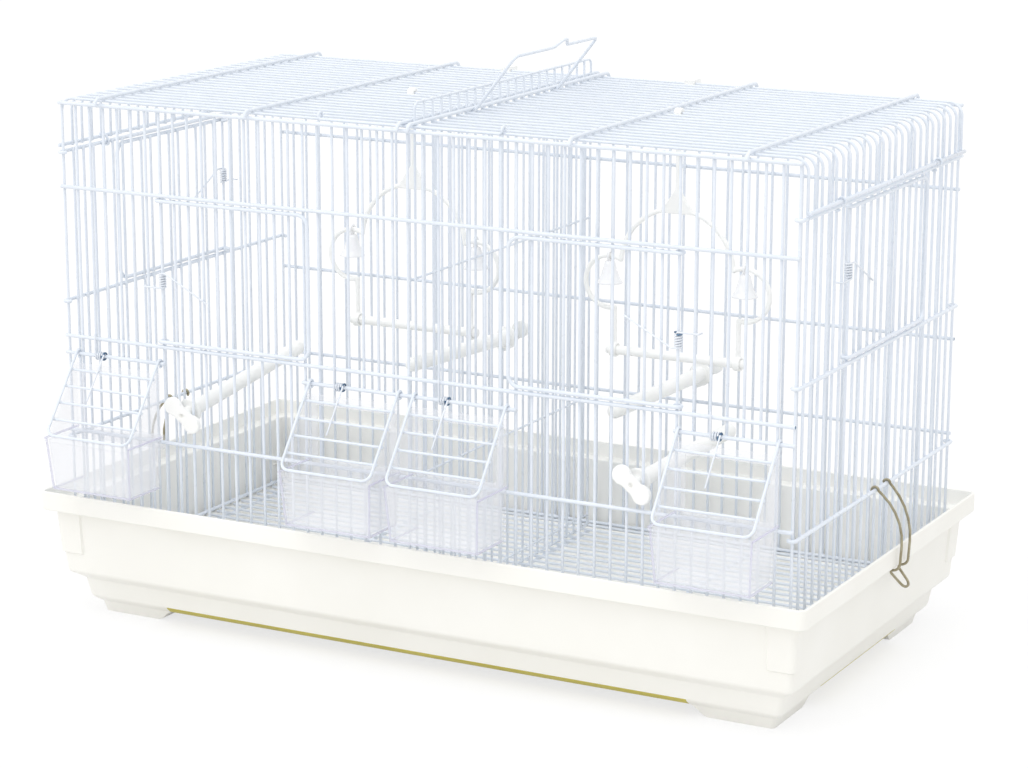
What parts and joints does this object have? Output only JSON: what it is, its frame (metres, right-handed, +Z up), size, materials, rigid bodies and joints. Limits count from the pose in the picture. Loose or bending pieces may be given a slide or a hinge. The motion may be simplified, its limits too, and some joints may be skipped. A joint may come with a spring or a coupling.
{
  "type": "flight bird cage",
  "caption": "Rectangular wire flight cage on a moulded tray, with sprung doors, flap-covered feeder cups, swings, perches, a lift-out divider and a folding carry handle.",
  "frame": {"origin": "centre of the bounding box in plan, on the table top", "axes": "+X to the right along the front wall, +Y to the back, +Z up; feeders and front doors face -Y"},
  "size_m": [0.5948, 0.339, 0.4131],
  "materials": {
    "wire": "glossy white powder coat over steel wire",
    "spring": "white coated spring wire",
    "tray": "smooth satin ivory moulding",
    "cup": "clear polystyrene, faint lavender edges",
    "moulding": "warm white glossy moulding",
    "clip": "bronze tinted bare spring steel"
  },
  "bodies": {
    "cage": {"floor_grate": "wire", "front_panel": "wire", "back_panel": "wire", "left_panel": "wire", "right_panel": "wire", "roof_panel": "wire", "roof_hooks": "wire", "roof_rod": "wire", "front_door_spring_left": "spring", "front_door_spring_right": "spring", "side_door_spring_left": "spring", "side_door_spring_right": "spring", "flap_spring_1": "spring", "flap_spring_2": "spring", "flap_spring_3": "spring", "flap_spring_4": "spring", "base_tray": "tray", "feeder_cup_1": "cup", "perch_1": "moulding", "feeder_cup_2": "cup", "perch_2": "moulding", "feeder_cup_3": "cup", "perch_3": "moulding", "feeder_cup_4": "cup", "perch_4": "moulding", "roof_clips": "moulding"},
    "divider": {"divider": "wire"},
    "carry_handle": {"carry_handle": "wire"},
    "front_door_left": {"front_door_left": "wire"},
    "front_door_right": {"front_door_right": "wire"},
    "side_door_left": {"side_door_left": "wire"},
    "side_door_right": {"side_door_right": "wire"},
    "tray_clip_left": {"tray_clip_left": "clip"},
    "tray_clip_right": {"tray_clip_right": "clip"},
    "feeder_flap_1": {"feeder_flap_1": "wire"},
    "feeder_flap_2": {"feeder_flap_2": "wire"},
    "feeder_flap_3": {"feeder_flap_3": "wire"},
    "feeder_flap_4": {"feeder_flap_4": "wire"},
    "swing_bell_1": {"swing_bell_1": "moulding"},
    "swing_bell_2": {"swing_bell_2": "moulding"},
    "swing_bell_3": {"swing_bell_3": "moulding"},
    "swing_bell_4": {"swing_bell_4": "moulding"},
    "swing_left": {"swing_frame_left": "moulding", "swing_bar_left": "moulding"},
    "swing_right": {"swing_frame_right": "moulding", "swing_bar_right": "moulding"}
  },
  "joints": [
    {"name": "front_door_left_swing", "type": "hinge", "parent": "cage", "child": "front_door_left", "pos_m": [-0.19373, -0.125, 0.2555], "axis": [0, 0, -1], "range_deg": [0, 110], "stiffness_Nm_per_rad": 0.02, "springref_deg": -34.38, "deforming": ["front_door_spring_left"]},
    {"name": "front_door_right_swing", "type": "hinge", "parent": "cage", "child": "front_door_right", "pos_m": [0.19373, -0.125, 0.2555], "axis": [0, 0, 1], "range_deg": [0, 110], "stiffness_Nm_per_rad": 0.02, "springref_deg": -34.38, "deforming": ["front_door_spring_right"]},
    {"name": "side_door_right_swing", "type": "hinge", "parent": "cage", "child": "side_door_right", "pos_m": [0.2735, -0.04392, 0.279], "axis": [0, 0, -1], "range_deg": [0, 110], "stiffness_Nm_per_rad": 0.02, "springref_deg": -34.38, "deforming": ["side_door_spring_right"]},
    {"name": "side_door_left_swing", "type": "hinge", "parent": "cage", "child": "side_door_left", "pos_m": [-0.2735, 0.07192, 0.279], "axis": [0, 0, -1], "range_deg": [0, 110], "stiffness_Nm_per_rad": 0.02, "springref_deg": -34.38, "deforming": ["side_door_spring_left"]},
    {"name": "feeder_flap_1_lift", "type": "hinge", "parent": "cage", "child": "feeder_flap_1", "pos_m": [-0.23042, -0.12732, 0.191], "axis": [-1, 0, 0], "range_deg": [0, 60], "stiffness_Nm_per_rad": 0.01, "springref_deg": -28.65, "deforming": ["flap_spring_1"]},
    {"name": "feeder_flap_2_lift", "type": "hinge", "parent": "cage", "child": "feeder_flap_2", "pos_m": [-0.04009, -0.12732, 0.191], "axis": [-1, 0, 0], "range_deg": [0, 60], "stiffness_Nm_per_rad": 0.01, "springref_deg": -28.65, "deforming": ["flap_spring_2"]},
    {"name": "feeder_flap_3_lift", "type": "hinge", "parent": "cage", "child": "feeder_flap_3", "pos_m": [0.04009, -0.12732, 0.191], "axis": [-1, 0, 0], "range_deg": [0, 60], "stiffness_Nm_per_rad": 0.01, "springref_deg": -28.65, "deforming": ["flap_spring_3"]},
    {"name": "feeder_flap_4_lift", "type": "hinge", "parent": "cage", "child": "feeder_flap_4", "pos_m": [0.23042, -0.12732, 0.191], "axis": [-1, 0, 0], "range_deg": [0, 60], "stiffness_Nm_per_rad": 0.01, "springref_deg": -28.65, "deforming": ["flap_spring_4"]},
    {"name": "handle_fold", "type": "hinge", "parent": "cage", "child": "carry_handle", "pos_m": [0.004, 0.02525, 0.37082], "axis": [0, 1, 0], "range_deg": [-41, 45]},
    {"name": "divider_lift", "type": "slide", "parent": "cage", "child": "divider", "axis": [0, 0, 1], "range_m": [0, 0.32]},
    {"name": "swing_left_sway", "type": "hinge", "parent": "cage", "child": "swing_left", "pos_m": [-0.0761, 0.014, 0.3685], "axis": [1, 0, 0], "range_deg": [-25, 25]},
    {"name": "swing_right_sway", "type": "hinge", "parent": "cage", "child": "swing_right", "pos_m": [0.12773, 0.014, 0.3685], "axis": [1, 0, 0], "range_deg": [-25, 25]},
    {"name": "bell_1_sway", "type": "hinge", "parent": "swing_left", "child": "swing_bell_1", "pos_m": [-0.1261, 0.014, 0.268], "axis": [1, 0, 0], "range_deg": [-40, 40]},
    {"name": "bell_2_sway", "type": "hinge", "parent": "swing_left", "child": "swing_bell_2", "pos_m": [-0.0261, 0.014, 0.268], "axis": [1, 0, 0], "range_deg": [-40, 40]},
    {"name": "bell_3_sway", "type": "hinge", "parent": "swing_right", "child": "swing_bell_3", "pos_m": [0.07773, 0.014, 0.268], "axis": [1, 0, 0], "range_deg": [-40, 40]},
    {"name": "bell_4_sway", "type": "hinge", "parent": "swing_right", "child": "swing_bell_4", "pos_m": [0.17772, 0.014, 0.268], "axis": [1, 0, 0], "range_deg": [-40, 40]},
    {"name": "tray_clip_right_turn", "type": "hinge", "parent": "cage", "child": "tray_clip_right", "pos_m": [0.27582, 0.01979, 0.13], "axis": [0, -1, 0], "range_deg": [0, 100]},
    {"name": "tray_clip_left_turn", "type": "hinge", "parent": "cage", "child": "tray_clip_left", "pos_m": [-0.27582, 0.00821, 0.13], "axis": [0, 1, 0], "range_deg": [0, 100]}
  ]
}
